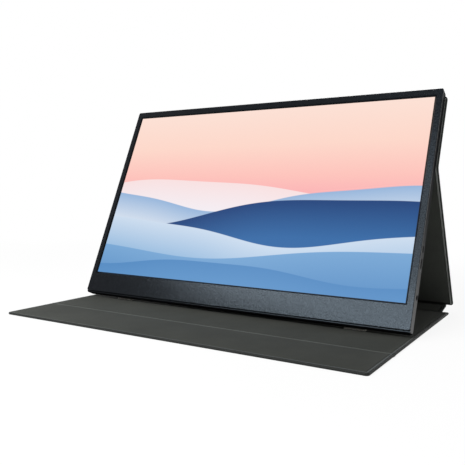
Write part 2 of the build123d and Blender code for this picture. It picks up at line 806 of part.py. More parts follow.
def stiffener(name, plane, half_width, pocket, radii, magnet_y=None):
    """A stiff board in a skin's pocket, with holes where it holds magnets."""
    margin = skin_thickness + stiffener_play
    board_y = (pocket[0] + stiffener_play, pocket[1] - stiffener_play)
    with BuildPart() as board:
        layer(plane, half_width - margin, board_y, board_z, inset_radii(radii, margin))
        if magnet_y is not None:
            with BuildSketch(plane.offset(board_z[0])) as holes:
                with Locations(*[(x, magnet_y) for x in magnet_xs]):
                    Circle(magnet_radius + magnet_play)
            extrude(holes.sketch, amount=stiffener_thickness, mode=Mode.SUBTRACT)
    save(board.part, name)


def magnets(name, plane, magnet_y):
    """The row of disc magnets in a panel's stiffener."""
    with BuildPart() as discs:
        with BuildSketch(plane.offset(board_z[0])):
            with Locations(*[(x, magnet_y) for x in magnet_xs]):
                Circle(magnet_radius)
        extrude(amount=stiffener_thickness)
    save(discs.part, name)


def lining_sheet(name, plane, half_width, y_range, radii, free_ends, folds):
    """The lining that closes a panel between its hems."""
    margin = hem_width + lining_play
    with BuildPart() as lining:
        lining_y = inset_ends(y_range, free_ends, margin)
        layer(plane, half_width - margin, lining_y, lining_z, inset_radii(radii, margin))
        for axis_place in folds:
            score(axis_place)
    save(lining.part, name)


crease_axis = (crease_y, panel_thickness)
hinge_axis = (hinge_y, panel_thickness)
heel_axis = (heel_y, heel_z)
fold_axis = (fold_y, fold_z)

# Front flap: lies in front of the monitor and folds up at the front crease
flap_plane = Plane((0, crease_y, 0), x_dir=(-1, 0, 0), z_dir=(0, 0, 1))
flap_y = (fold_gap, flap_length)
flap_radii = (0, flap_corner_radius)
flap_ends = (False, True)
flap_pocket = inset_ends(flap_y, flap_ends, skin_thickness, bonded_strip)
with BuildPart() as flap_skin:
    wrapped_skin(flap_skin, flap_plane, half_cover, flap_y, flap_radii, flap_ends, [flap_pocket])
    score(crease_axis)
save(flap_skin.part, "flap_skin")
stiffener("flap_board", flap_plane, half_cover, flap_pocket, flap_radii, flap_length / 2)
magnets("flap_magnets", flap_plane, flap_length / 2)
lining_sheet("flap_lining", flap_plane, half_cover, flap_y, flap_radii, flap_ends, [crease_axis])

# Base: one skin and lining over two stiffeners, which part at the crease under the feet
base_y = (crease_y + fold_gap, hinge_y - fold_gap)
base_radii = (0, base_corner_radius)
base_ends = (False, True)
base_pocket = inset_ends(base_y, base_ends, skin_thickness, bonded_strip)
middle_pocket = (base_pocket[0], -foot_crease_width / 2)
rear_pocket = (foot_crease_width / 2, base_pocket[1])
foot_crease_axis = (0, panel_thickness)
with BuildPart() as base_skin:
    pockets = [middle_pocket, rear_pocket]
    wrapped_skin(base_skin, Plane.XY, half_cover, base_y, base_radii, base_ends, pockets)
    layer(Plane.XY, half_spine, (base_y[1] - edge_round, base_y[1]), (0, panel_thickness))
    for axis in (crease_axis, foot_crease_axis, hinge_axis):
        score(axis)
save(base_skin.part, "base_skin")
stiffener("base_middle_board", Plane.XY, half_cover, middle_pocket, (0, 0))
stiffener("base_rear_board", Plane.XY, half_cover, rear_pocket, base_radii)
base_folds = [crease_axis, foot_crease_axis]
lining_sheet("base_lining", Plane.XY, half_cover, base_y, base_radii, base_ends, base_folds)

# Spine: the narrow strip behind the base, which lifts the foot of the leg
spine_plane = panel_plane(hinge_axis, spine_lift, panel_thickness)
spine_y = (fold_gap, spine_length - fold_gap)
spine_ends = (False, False)
spine_pocket = inset_ends(spine_y, spine_ends, skin_thickness, bonded_strip)
with BuildPart() as spine_skin:
    wrapped_skin(spine_skin, spine_plane, half_spine, spine_y, (0, 0), spine_ends, [spine_pocket])
    score(hinge_axis)
    score(heel_axis)
save(spine_skin.part, "spine_skin")
stiffener("spine_board", spine_plane, half_spine, spine_pocket, (0, 0))
spine_folds = [hinge_axis, heel_axis]
lining_sheet("spine_lining", spine_plane, half_spine, spine_y, (0, 0), spine_ends, spine_folds)

# Leg: slopes up from the spine to the fold behind the monitor, with a rounded heel
leg_plane = panel_plane(heel_axis, leg_slope, panel_thickness)
leg_y = (0, leg_length - fold_gap)
leg_radii = (cover_corner_radius, 0)
leg_ends = (True, False)
leg_pocket = inset_ends(leg_y, leg_ends, skin_thickness, bonded_strip)
heel_sweep = leg_slope - spine_lift - heel_play
with BuildPart() as leg_skin:
    wrapped_skin(leg_skin, leg_plane, half_cover, leg_y, leg_radii, leg_ends, [leg_pocket])
    layer(leg_plane, half_spine, (0, edge_round), (0, panel_thickness))
    heel_section = Plane((0, *heel_axis), x_dir=(1, 0, 0), z_dir=leg_plane.y_dir)
    with BuildSketch(heel_section):
        with Locations((0, (score_radius + panel_thickness) / 2)):
            Rectangle(2 * half_spine, panel_thickness - score_radius)
    revolve(axis=Axis((0, *heel_axis), (-1, 0, 0)), revolution_arc=heel_sweep)
    score(heel_axis)
    score(fold_axis)
save(leg_skin.part, "leg_skin")
stiffener("leg_board", leg_plane, half_cover, leg_pocket, leg_radii)
lining_sheet("leg_lining", leg_plane, half_cover, leg_y, leg_radii, leg_ends, [])

# Upper panel: held flat on the monitor's back by magnets
upper_plane = panel_plane(fold_axis, tilt, 0)
upper_y = (fold_gap, upper_panel_length)
upper_radii = (0, cover_corner_radius)
upper_ends = (False, True)
upper_pocket = inset_ends(upper_y, upper_ends, skin_thickness, bonded_strip)
upper_magnet_y = upper_panel_length / 2
with BuildPart() as upper_skin:
    wrapped_skin(
        upper_skin, upper_plane, half_cover, upper_y, upper_radii, upper_ends, [upper_pocket]
    )
    score(fold_axis)
save(upper_skin.part, "upper_cover_skin")
stiffener("upper_cover_board", upper_plane, half_cover, upper_pocket, upper_radii, upper_magnet_y)
magnets("cover_magnets", upper_plane, upper_magnet_y)
lining_sheet("upper_cover_lining", upper_plane, half_cover, upper_y, upper_radii, upper_ends, [])
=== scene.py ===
import json
import math

import bmesh
import bpy
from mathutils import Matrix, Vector


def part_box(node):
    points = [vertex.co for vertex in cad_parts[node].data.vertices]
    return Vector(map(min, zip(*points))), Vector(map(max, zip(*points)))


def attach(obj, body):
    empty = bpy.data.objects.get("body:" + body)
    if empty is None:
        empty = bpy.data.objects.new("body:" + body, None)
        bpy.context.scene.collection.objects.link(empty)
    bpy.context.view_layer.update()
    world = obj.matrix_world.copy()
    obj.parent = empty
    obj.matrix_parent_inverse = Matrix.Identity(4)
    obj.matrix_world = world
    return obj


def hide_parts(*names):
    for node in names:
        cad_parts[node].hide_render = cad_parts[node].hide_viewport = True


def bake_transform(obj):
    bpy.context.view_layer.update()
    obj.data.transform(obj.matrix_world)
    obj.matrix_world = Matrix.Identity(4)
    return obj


# A portable monitor on its folio cover. Lengths are in metres in the frame's own axes:
# X along the screen, Y to the back, Z up.
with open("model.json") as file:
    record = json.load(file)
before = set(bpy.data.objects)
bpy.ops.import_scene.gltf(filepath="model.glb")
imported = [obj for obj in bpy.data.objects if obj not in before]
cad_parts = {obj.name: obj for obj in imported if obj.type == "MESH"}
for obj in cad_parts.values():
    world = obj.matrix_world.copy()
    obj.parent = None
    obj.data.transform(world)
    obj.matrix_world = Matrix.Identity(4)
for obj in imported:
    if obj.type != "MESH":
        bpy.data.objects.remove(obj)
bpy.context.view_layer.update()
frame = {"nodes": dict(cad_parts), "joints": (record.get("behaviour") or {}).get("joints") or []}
nodes = frame["nodes"]

MM = 0.001

# Camera, solved for the photograph: place, azimuth, elevation, roll about its own axis and lens
CAMERA_PLACE = (0.30859, -0.48540, 0.12194)
CAMERA_AZIMUTH = 31.923
CAMERA_ELEVATION = 4.113
CAMERA_ROLL = 0.226
CAMERA_LENS = 46.492
SENSOR_WIDTH = 36

# Sizes of the monitor's face, along its width and up its slope
TILT = math.radians(65.9)
ACTIVE_WIDTH = 344.2 * MM
ACTIVE_HEIGHT = 193.6 * MM
CHIN_HEIGHT = 22.3 * MM
UP = Vector((0, math.cos(TILT), math.sin(TILT)))
BACK = Vector((0, math.sin(TILT), -math.cos(TILT)))

# Sizes of the folio's panels: their thickness, the length of the one on the monitor's back, a hem's
# width, the run of its step down at a fold's end, and the radius of a corner that looks square
PANEL = 2.3 * MM
UPPER_LENGTH = 72 * MM
HEM = 2.8 * MM
HEM_FOOT = 0.05 * MM
NEAR_SQUARE = 0.15 * MM

joint_place = {
    joint["name"]: Vector(joint["pos_m"]) for joint in frame["joints"] if "pos_m" in joint
}
half_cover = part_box("base_skin")[1].x
half_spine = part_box("spine_skin")[1].x


def face_origin():
    """The middle of the front face's lower edge, found from the front frame itself."""
    corners = [v.co for v in nodes["front_frame"].data.vertices]
    depth = min(c.dot(BACK) for c in corners)
    height = min(c.dot(UP) for c in corners)
    return BACK * depth + UP * height


ORIGIN = face_origin()


# Node trees of materials

# Sockets of the mix node for colours: the factor with the two colours, and the result
COLOUR_MIX_INPUTS = (0, 6, 7)
COLOUR_MIX_RESULT = 2


class Tree:
    """A material's node tree, with short calls for the nodes that recur."""

    def __init__(self, name):
        self.material = bpy.data.materials.new(name)
        self.material.use_nodes = True
        self.nodes = self.material.node_tree.nodes
        self.links = self.material.node_tree.links
        self.shader = self.nodes["Principled BSDF"]

    def join(self, source, target):
        self.links.new(source, target)

    def drive(self, socket, source):
        """Joins a source to one of the shader's own sockets."""
        self.join(source, self.shader.inputs[socket])

    def feed(self, node, *values):
        """Gives a node's inputs numbers, or joins them to other nodes' outputs."""
        for socket, value in zip(node.inputs, values):
            if isinstance(value, (int, float)):
                socket.default_value = value
            else:
                self.join(value, socket)

    def coords(self):
        """Each place in the frame's axes, in metres."""
        return self.nodes.new("ShaderNodeTexCoord").outputs["Object"]

    def across(self, vector):
        """The X part of a place."""
        node = self.nodes.new("ShaderNodeSeparateXYZ")
        self.join(vector, node.inputs[0])
        return node.outputs[0]

    def scaled(self, vector, scale):
        node = self.nodes.new("ShaderNodeMapping")
        node.inputs["Scale"].default_value = scale
        self.join(vector, node.inputs["Vector"])
        return node.outputs[0]

    def dot(self, vector, direction):
        node = self.nodes.new("ShaderNodeVectorMath")
        node.operation = "DOT_PRODUCT"
        node.inputs[1].default_value = direction
        self.join(vector, node.inputs[0])
        return node.outputs["Value"]

    def math(self, operation, *values, clamp=False):
        node = self.nodes.new("ShaderNodeMath")
        node.operation = operation
        node.use_clamp = clamp
        self.feed(node, *values)
        return node.outputs[0]

    def weighted(self, *parts):
        """The sum of some factors, each times its own share."""
        (factor, share), *rest = parts
        total = self.math("MULTIPLY", factor, share)
        for factor, share in rest:
            total = self.math("MULTIPLY_ADD", factor, share, total)
        return total

    def noise(self, vector, scale, detail, roughness=0.5):
        node = self.nodes.new("ShaderNodeTexNoise")
        node.inputs["Scale"].default_value = scale
        node.inputs["Detail"].default_value = detail
        node.inputs["Roughness"].default_value = roughness
        self.join(vector, node.inputs["Vector"])
        return node.outputs["Fac"]

    def cells(self, vector, scale):
        """The distance to the nearest edge of a pattern of irregular cells."""
        node = self.nodes.new("ShaderNodeTexVoronoi")
        node.feature = "DISTANCE_TO_EDGE"
        node.inputs["Scale"].default_value = scale
        self.join(vector, node.inputs["Vector"])
        return node.outputs["Distance"]

    def ramp(self, factor, stops):
        """A colour from a factor, through stops of a position and a colour each."""
        node = self.nodes.new("ShaderNodeValToRGB")
        elements = node.color_ramp.elements
        while len(elements) < len(stops):
            elements.new(0.5)
        for element, (position, colour) in zip(elements, stops):
            element.position = position
            element.color = (*colour, 1)
        self.join(factor, node.inputs[0])
        return node.outputs[0]

    def mix(self, factor, first, second):
        """From the first colour to the second as the factor goes from nought to one."""
        node = self.nodes.new("ShaderNodeMix")
        node.data_type = "RGBA"
        for index, value in zip(COLOUR_MIX_INPUTS, (factor, first, second)):
            if isinstance(value, tuple):
                node.inputs[index].default_value = (*value, 1)
            else:
                self.join(value, node.inputs[index])
        return node.outputs[COLOUR_MIX_RESULT]

    def paint(self, factor, span, low, high):
        """The base colour: from a low to a high tone over this span of a factor."""
        stops = [(position, shade(tone)) for position, tone in zip(span, (low, high))]
        self.drive("Base Color", self.ramp(factor, stops))

    def bump(self, height, strength, distance):
        node = self.nodes.new("ShaderNodeBump")
        node.inputs["Strength"].default_value = strength
        node.inputs["Distance"].default_value = distance
        self.join(height, node.inputs["Height"])
        self.drive("Normal", node.outputs[0])

    def set(self, **values):
        """Sets the shader's own sockets, named with underscores for spaces."""
        for name, value in values.items():
            self.shader.inputs[name.replace("_", " ")].default_value = value


def shade(levels):
    """A linear colour from sRGB levels, 0 to 255."""
    parts = [level / 255 for level in levels]
    return tuple(c / 12.92 if c <= 0.04045 else ((c + 0.055) / 1.055) ** 2.4 for c in parts)


# Where handling has polished the monitor's housing: in a line on the lip, at this distance below
# the face and this high, no deeper than this behind the face
LIP_START = 0.4 * MM
LIP_HEIGHT = 0.8 * MM
LIP_DEPTH = 2.2 * MM
# and in the outermost layer of both sides, up to this far from their lower ends
SIDE_DEPTH = 0.6 * MM
SIDE_REACH = 110 * MM
POLISH_BLUR = 0.2 * MM
# What polish adds to the specular level, and the share of the roughness that it takes away
POLISH_SPECULAR = 0.065
POLISH_SMOOTHING = 0.6


def polish(tree, place):
    """One where the housing is polished, less further up its sides, and nought elsewhere."""
    height = tree.dot(place, UP)
    top = ORIGIN.dot(UP) - LIP_START
    band = tree.math(
        "MINIMUM",
        tree.math("SUBTRACT", top, height),
        tree.math("SUBTRACT", height, top - LIP_HEIGHT),
    )
    ahead = tree.math("SUBTRACT", ORIGIN.dot(BACK) + LIP_DEPTH, tree.dot(place, BACK))
    lip = tree.math("MULTIPLY", tree.math("MINIMUM", band, ahead), 1 / POLISH_BLUR, clamp=True)
    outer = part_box("rear_cover")[1].x - SIDE_DEPTH
    side = tree.math("SUBTRACT", tree.math("ABSOLUTE", tree.across(place)), outer)
    side = tree.math("MULTIPLY", side, 1 / POLISH_BLUR, clamp=True)
    fade = tree.math("MULTIPLY_ADD", height, -1 / SIDE_REACH, 1 + top / SIDE_REACH, clamp=True)
    return tree.math("MAXIMUM", lip, tree.math("MULTIPLY", side, fade))


# Moulded stuff: shares of its fine and broad grain, the span of both that the two tones cover, and
# the grain's depth
FINE_SHARE, BROAD_SHARE = 0.55, 0.45
BROAD_GRAIN = 1 / 3
MOULDED_SPAN = (0.4, 0.6)
GRAIN_DEPTH = 0.1 * MM


def moulded(name, low, high, grain, roughness, relief, specular, gloss=(1, 1, 1), polished=None):
    """Moulded or painted stuff: two close tones in fine grain, over broader mottling.

    The polished places, if any, are found by a function of their own.
    """
    tree = Tree(name)
    place = tree.coords()
    fine = tree.noise(place, grain, detail=4.0, roughness=0.6)
    broad = tree.noise(place, grain * BROAD_GRAIN, detail=3.0, roughness=0.6)
    tone = tree.weighted((broad, BROAD_SHARE), (fine, FINE_SHARE))
    tree.paint(tone, MOULDED_SPAN, low, high)
    tree.set(Specular_IOR_Level=specular, Specular_Tint=(*gloss, 1))
    dull = tree.math("MULTIPLY_ADD", tone, roughness[1] - roughness[0], roughness[0])
    if polished:
        share = polished(tree, place)
        dull = tree.math("MULTIPLY", dull, tree.math("MULTIPLY_ADD", share, -POLISH_SMOOTHING, 1))
        shine = tree.math("MULTIPLY_ADD", share, POLISH_SPECULAR, specular)
        tree.drive("Specular IOR Level", shine)
    tree.drive("Roughness", dull)
    tree.bump(tone, relief, GRAIN_DEPTH)
    return tree.material


# Leather, with patterns counted to the metre: pebbles in two sizes, a warp that shifts their height
# and broad clouds of colour
PEBBLES, FINE_PEBBLES, WARPS, LEATHER_CLOUDS = 1300, 2730, 780, 18
# Shares of the first three in the height, then those of the clouds and the height in the colour
HEIGHT_SHARES = (0.7, 0.35, 0.15)
LEATHER_SHARES = (0.35, 0.9)
LEATHER_SPAN = (0.2, 0.62)
# How much rougher the brightest clouds are
CLOUD_DULLING = 0.12
PEBBLE_RELIEF = 0.5
PEBBLE_DEPTH = 0.2 * MM


def leather(name, low, high, roughness, specular=0.12):
    """Synthetic leather: small raised pebbles in two sizes, with soft colour variation."""
    tree = Tree(name)
    place = tree.coords()
    warp = tree.noise(place, WARPS, detail=2.0)
    patterns = (tree.cells(place, PEBBLES), tree.cells(place, FINE_PEBBLES), warp)
    height = tree.weighted(*zip(patterns, HEIGHT_SHARES))
    cloud = tree.noise(place, LEATHER_CLOUDS, detail=3.0)
    tone = tree.weighted(*zip((cloud, height), LEATHER_SHARES))
    tree.paint(tone, LEATHER_SPAN, low, high)
    tree.drive("Roughness", tree.math("MULTIPLY_ADD", cloud, CLOUD_DULLING, roughness))
    tree.bump(height, PEBBLE_RELIEF, PEBBLE_DEPTH)
    tree.set(Specular_IOR_Level=specular)
    return tree.material


# Lining, with its nap and clouds counted to the metre, and the shares of clouds and nap in its
# colour
NAP, LINING_CLOUDS = 2200, 22
LINING_SHARES = (0.3, 0.7)
LINING_SPAN = (0.36, 0.64)
# How much rougher the brightest nap is
NAP_DULLING = 0.1
NAP_RELIEF = 0.2
NAP_DEPTH = 0.1 * MM


def microfibre(name, low, high, roughness):
    """Smooth lining: a very fine nap over broad, faint clouding."""
    tree = Tree(name)
    place = tree.coords()
    nap = tree.noise(place, NAP, detail=3.0, roughness=0.7)
    cloud = tree.noise(place, LINING_CLOUDS, detail=4.0, roughness=0.6)
    tone = tree.weighted(*zip((cloud, nap), LINING_SHARES))
    tree.paint(tone, LINING_SPAN, low, high)
    tree.drive("Roughness", tree.math("MULTIPLY_ADD", nap, NAP_DULLING, roughness))
    tree.bump(nap, NAP_RELIEF, NAP_DEPTH)
    tree.set(Specular_IOR_Level=0.08, Sheen_Weight=0.02, Sheen_Roughness=0.5)
    return tree.material


# Sheet metal: how its rolling marks are drawn out along X, how dark they are, the span of them
# that its tones cover, and how much rougher the brightest are
ROLLING = (40, 900, 900)
MARK_SCALE = 3
MARK_TONE = 0.85
MARK_SPAN = (0.3, 0.7)
MARK_DULLING = 0.2


def metal(name, colour, roughness):
    """Sheet metal with fine rolling marks."""
    tree = Tree(name)
    marks = tree.noise(tree.scaled(tree.coords(), ROLLING), MARK_SCALE, detail=2.0)
    dark = tuple(c * MARK_TONE for c in colour)
    tree.drive("Base Color", tree.ramp(marks, list(zip(MARK_SPAN, (dark, colour)))))
    tree.drive("Roughness", tree.math("MULTIPLY_ADD", marks, MARK_DULLING, roughness))
    tree.set(Metallic=1.0)
    return tree.material


# The picture on the screen: a warm sky over broad flowing bands, made up for this part
SKY = [
    (0.48, (252, 176, 180)),
    (0.60, (255, 196, 188)),
    (0.78, (255, 217, 203)),
    (1.0, (254, 226, 214)),
]
# Height of a band's upper line, its swell, wave length and phase, and its upper and lower tones
BANDS = [
    (0.535, 0.050, 1.30, 0.50, (250, 226, 226), (244, 240, 246)),
    (0.475, 0.070, 1.10, 2.60, (150, 182, 220), (226, 234, 244)),
    (0.395, 0.090, 1.55, 4.55, (16, 62, 122), (44, 104, 166)),
    (0.285, 0.060, 1.20, 1.30, (206, 222, 240), (150, 188, 224)),
    (0.185, 0.050, 1.60, 3.50, (120, 168, 214), (92, 146, 200)),
    (0.085, 0.030, 1.00, 5.20, (84, 140, 196), (104, 158, 210)),
]
# The ripples on each band's line, against its swell: their height and how close they follow
RIPPLE_SHARE, RIPPLE_RATE = 0.18, 2.5
# How fast a band passes from its upper to its lower tone, and how sharp its upper line is
BAND_FADE = 5.0
EDGE_SHARPNESS = 350
PICTURE_STRENGTH = 0.97
GLASS_BORDER = (10, 11, 12)


def picture_material():
    """Screen glass: a lit picture inside the active area and black glass round it."""
    tree = Tree("screen_picture")
    place = tree.coords()
    across = tree.math("MULTIPLY_ADD", tree.across(place), 1 / ACTIVE_WIDTH, 0.5)
    lower_edge = ORIGIN.dot(UP) + CHIN_HEIGHT
    rise = tree.math("SUBTRACT", tree.dot(place, UP), lower_edge)
    rise = tree.math("MULTIPLY", rise, 1 / ACTIVE_HEIGHT)
    image = tree.ramp(rise, [(stop, shade(colour)) for stop, colour in SKY])
    for height, swell, length, phase, upper, lower in BANDS:
        rate = 2 * math.pi / length
        wave = tree.math("SINE", tree.math("MULTIPLY_ADD", across, rate, phase))
        line = tree.math("MULTIPLY_ADD", wave, swell, height)
        turns = tree.math("MULTIPLY_ADD", across, rate * RIPPLE_RATE, 2 * phase)
        line = tree.math("MULTIPLY_ADD", tree.math("SINE", turns), swell * RIPPLE_SHARE, line)
        below = tree.math("SUBTRACT", line, rise)
        depth = tree.math("MULTIPLY", below, BAND_FADE, clamp=True)
        tone = tree.ramp(depth, [(0.0, shade(upper)), (1.0, shade(lower))])
        image = tree.mix(tree.math("MULTIPLY", below, EDGE_SHARPNESS, clamp=True), image, tone)
    inside = [
        tree.math("LESS_THAN", tree.math("ABSOLUTE", tree.math("SUBTRACT", value, 0.5)), 0.5)
        for value in (across, rise)
    ]
    lit = tree.math("MULTIPLY", *inside)
    tree.drive("Emission Color", tree.mix(lit, (0.0, 0.0, 0.0), image))
    tree.set(
        Emission_Strength=PICTURE_STRENGTH,
        Base_Color=(*shade(GLASS_BORDER), 1),
        Roughness=0.4,
        Specular_IOR_Level=0.05,
    )
    return tree.material


# Tint of the gloss on the monitor's plastic
SLATE_GLOSS = (0.67, 0.84, 1.0)
# Moulded and painted stuffs: low and high tone, grain to the metre, range of roughness, relief and
# specular level
MOULDED = {
    "face_plastic": ((4, 4, 6), (12, 12, 15), 1000, (0.12, 0.3), 1.0, 0.115),
    "housing_plastic": ((7, 7, 8), (14, 14, 16), 2600, (0.5, 0.6), 0.15, 0.02),
    "key_plastic": ((5, 5, 6), (10, 10, 11), 3000, (0.5, 0.6), 0.1, 0.05),
    "foot_rubber": ((136, 134, 128), (158, 156, 150), 2500, (0.7, 0.85), 0.2, 0.2),
    "stiffener_board": ((120, 116, 104), (140, 136, 124), 600, (0.8, 0.9), 0.2, 0.5),
    "clear_film": ((226, 228, 232), (238, 240, 242), 800, (0.25, 0.35), 0.02, 0.5),
    "circuit_board": ((12, 72, 40), (20, 92, 52), 900, (0.4, 0.5), 0.1, 0.5),
    "chip_plastic": ((14, 14, 16), (22, 22, 24), 2000, (0.5, 0.6), 0.1, 0.04),
    "ribbon_film": ((170, 96, 30), (196, 116, 40), 700, (0.35, 0.45), 0.05, 0.5),
    "lead_rubber": ((120, 20, 22), (140, 28, 30), 900, (0.5, 0.6), 0.05, 0.5),
    "lamp_lens": ((36, 40, 44), (48, 52, 56), 900, (0.25, 0.3), 0.02, 0.1),
}
# What some of them have besides
FINISHES = {
    "face_plastic": {"gloss": SLATE_GLOSS},
    "housing_plastic": {"gloss": SLATE_GLOSS, "polished": polish},
}
# Metals: linear colour and least roughness
METALS = {
    "plated_steel": ((0.62, 0.62, 0.63), 0.3),
    "blackened_steel": ((0.08, 0.08, 0.09), 0.35),
    # Near-black shells in the sockets: painted shade for the dark inside of their openings
    "socket_steel_painted_shade": ((0.05, 0.05, 0.055), 0.4),
}
# The CAD nodes made of each of these
NODES_OF = {
    "face_plastic": ["front_frame"],
    "housing_plastic": ["rear_cover"],
    "key_plastic": ["power_button", "menu_rocker"],
    "foot_rubber": ["rubber_foot_left", "rubber_foot_right"],
    "stiffener_board": [
        "flap_board", "base_middle_board", "base_rear_board", "spine_board", "leg_board",
        "upper_cover_board",
    ],
    "clear_film": ["optical_films", "light_guide", "reflector_sheet"],
    "circuit_board": ["backlight_led_bar", "panel_driver_board", "main_board", "control_board"],
    "chip_plastic": [
        "board_chips", "tact_switches", "audio_socket", "speaker_left", "speaker_right",
    ],
    "ribbon_film": ["display_ribbon", "control_ribbon"],
    "lead_rubber": ["speaker_leads"],
    "lamp_lens": ["status_lamp"],
    "plated_steel": [
        "backlight_tray", "shield_can", "rocker_pin", "board_screws", "keeper_plate_left",
        "keeper_plate_right", "cover_magnets", "flap_magnets",
    ],
    "blackened_steel": ["case_screws"],
    "socket_steel_painted_shade": ["usb_c_socket_upper", "usb_c_socket_lower", "mini_hdmi_socket"],
}


def use(material, names):
    """Gives CAD nodes this material in all their slots."""
    for name in names:
        mesh = nodes[name].data
        if not mesh.materials:
            mesh.materials.append(material)
        for i in range(len(mesh.materials)):
            mesh.materials[i] = material


def dress_nodes():
    """Gives the CAD nodes their materials."""
    for name, look in MOULDED.items():
        use(moulded(name, *look, **FINISHES.get(name, {})), NODES_OF[name])
    for name, look in METALS.items():
        use(metal(name, *look), NODES_OF[name])
    use(picture_material(), ["display_glass"])


def cover_looks():
    """Materials of the cover's own pieces, with paler leather and lining as painted highlights on
    the hems' line and the crease.
    """
    return {
        "skin": leather("cover_leather", (26, 28, 27), (46, 48, 46), roughness=0.55),
        # The hems' line: paler leather, a painted highlight where the hem's top catches the light
        "crest": leather("cover_leather_hem_highlight", (68, 71, 69), (88, 91, 88), roughness=0.55),
        # Paler still on the leg and on the panel at the monitor's back: a painted highlight on hems
        # in the shade
        "painted_highlight_crest": leather(
            "cover_leather_painted_highlight", (132, 136, 133), (158, 162, 158), roughness=0.42, specular=0.3
        ),
        "lining": microfibre("cover_lining", (50, 52, 49), (65, 67, 63), roughness=0.8),
        # Paler lining along the crease: a painted highlight of its pressed line
        "fold": microfibre("cover_lining_crease_highlight", (72, 75, 72), (84, 87, 84), roughness=0.7),
    }


# The folio's panels, each placed by the fold at its near end


class Panel:
    """A panel's own axes: x across, u away from its near fold, h up from its outer surface."""

    def __init__(self, start, along, outward):
        self.start, self.along, self.outward = start, along, outward

    def at(self, x, u, h):
        return Vector((x, 0, 0)) + self.start + self.along * u - self.outward * h

    def row(self, u):
        """The places across the panel at this length, as a function of x and height."""
        return lambda x, h: self.at(x, u, h)


def turned(angle):
    """The direction along a panel at this slope, and the one out of its outer surface."""
    along = Vector((0, math.cos(angle), math.sin(angle)))
    outward = Vector((0, math.sin(angle), -math.cos(angle)))
    return along, outward


def slope(start, end):
    return math.atan2(end.z - start.z, end.y - start.y)


def make_panels():
    """The panels' axes and lengths, from the joints between them."""
    crease, hinge = joint_place["flap_fold"], joint_place["spine_fold"]
    heel, fold = joint_place["leg_fold"], joint_place["monitor_fold"]
    reach = (fold - heel).length
    leg_length = math.sqrt(reach**2 - PANEL**2)
    down = Vector((0, 0, -1))
    spine_axes = turned(slope(hinge, heel))
    leg_axes = turned(slope(heel, fold) + math.atan2(PANEL, leg_length))
    panels = {
        "flap": Panel(crease + down * PANEL, Vector((0, -1, 0)), down),
        "base": Panel(crease + down * PANEL, Vector((0, 1, 0)), down),
        "spine": Panel(hinge + spine_axes[1] * PANEL, *spine_axes),
        "leg": Panel(heel + leg_axes[1] * PANEL, *leg_axes),
        "upper": Panel(fold.copy(), UP.copy(), BACK.copy()),
    }
    lengths = {
        "flap": crease.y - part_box("flap_skin")[0].y,
        "base": hinge.y - crease.y,
        "spine": (heel - hinge).length,
        "leg": leg_length,
        "upper": UPPER_LENGTH,
    }
    return panels, lengths


panels, lengths = make_panels()
CORNER_STEPS = 8
# Where the arc of each rounded corner starts, in degrees, by the corner's end and side
CORNER_STARTS = {(1, 1): 0, (1, -1): 90, (-1, -1): 180, (-1, 1): 270}


def outline(half_width, ends, radii, insets, free):
    """Points round a panel, inset by its own amount at the sides and at each end.

    Each is a place across and along the panel, and whether a hem runs there: hems follow the
    sides and the free ends, and a fold's end has none between its side hems.
    """
    side, near, far = insets
    width = half_width - side
    inner = half_width - max(HEM + HEM_FOOT, side + 2 * HEM_FOOT)
    points = []
    far_end = (1, ends[1] - far, radii[1], free[1])
    near_end = (-1, ends[0] + near, radii[0], free[0])
    for way, u, radius, is_free in (far_end, near_end):
        for x_way in (way, -way):
            if is_free:
                r = max(radius - side, NEAR_SQUARE)
                for k in range(CORNER_STEPS + 1):
                    angle = math.radians(CORNER_STARTS[way, x_way] + 90 * k / CORNER_STEPS)
                    x = x_way * (width - r) + r * math.cos(angle)
                    points.append((x, u - way * r + r * math.sin(angle), True))
                continue
            corner = [
                (x_way * width, u - way * HEM, True),
                (x_way * width, u, True),
                (x_way * inner, u, True),
                (x_way * (inner - HEM_FOOT), u, False),
            ]
            points += corner if x_way == way else reversed(corner)
    return points


def new_piece(name, mesh, material):
    """A piece in the scene, with its material."""
    mesh.materials.append(material)
    piece = bpy.data.objects.new(name, mesh)
    bpy.context.collection.objects.link(piece)
    return piece


# Least angle in degrees at which an edge stays sharp, for panels and for swept sheets
PANEL_SHARP, SWEPT_SHARP = 40, 50


def finish_mesh(shell, name, sharp):
    """A smooth-shaded mesh with sharp edges, from the shell that has been built."""
    bmesh.ops.recalc_face_normals(shell, faces=shell.faces)
    mesh = bpy.data.meshes.new(name)
    shell.to_mesh(mesh)
    shell.free()
    mesh.polygons.foreach_set("use_smooth", [True] * len(mesh.polygons))
    mesh.set_sharp_from_angle(angle=math.radians(sharp))
    return mesh


# Edge profiles in millimetres from the outer surface round the edge, over the hem and down into
# the stiffener's pocket: inset at a free edge, inset at a fold, and height
EDGE_PROFILE = [
    (3.4, 3.4, 0.0),
    (1.2, 1.2, 0.0),
    (0.7, 0.5, 0.05),
    (0.35, 0.25, 0.2),
    (0.1, 0.08, 0.45),
    (0.0, 0.0, 0.8),
    (0.0, 0.0, 1.5),
    (0.1, 0.0, 1.65),
    (0.35, 0.02, 1.7),
    (0.7, 0.04, 1.74),
    (1.2, 0.06, 1.76),
    (2.3, 0.08, 1.78),
    (2.6, 0.1, 1.79),
    (2.75, 0.15, 1.8),
    (2.8, 0.2, 1.8),
    (0.62, 2.0, 1.8),
    (0.62, 2.0, 0.6),
    (3.4, 3.4, 0.6),
]
# Heights of the hem, by the profile's step, where they differ from those at a fold's end
HEM_HEIGHTS = {7: 1.85, 8: 2.1, 9: 2.25, 10: 2.3, 11: 2.3, 12: 2.24, 13: 2.05}
# The paler line along the top of the hems, a painted highlight: its steps of the profile, and its
# insets at a side
CREST_STEPS = (10, 11)
CREST_INSETS = (1.2 * MM, 2.6 * MM)


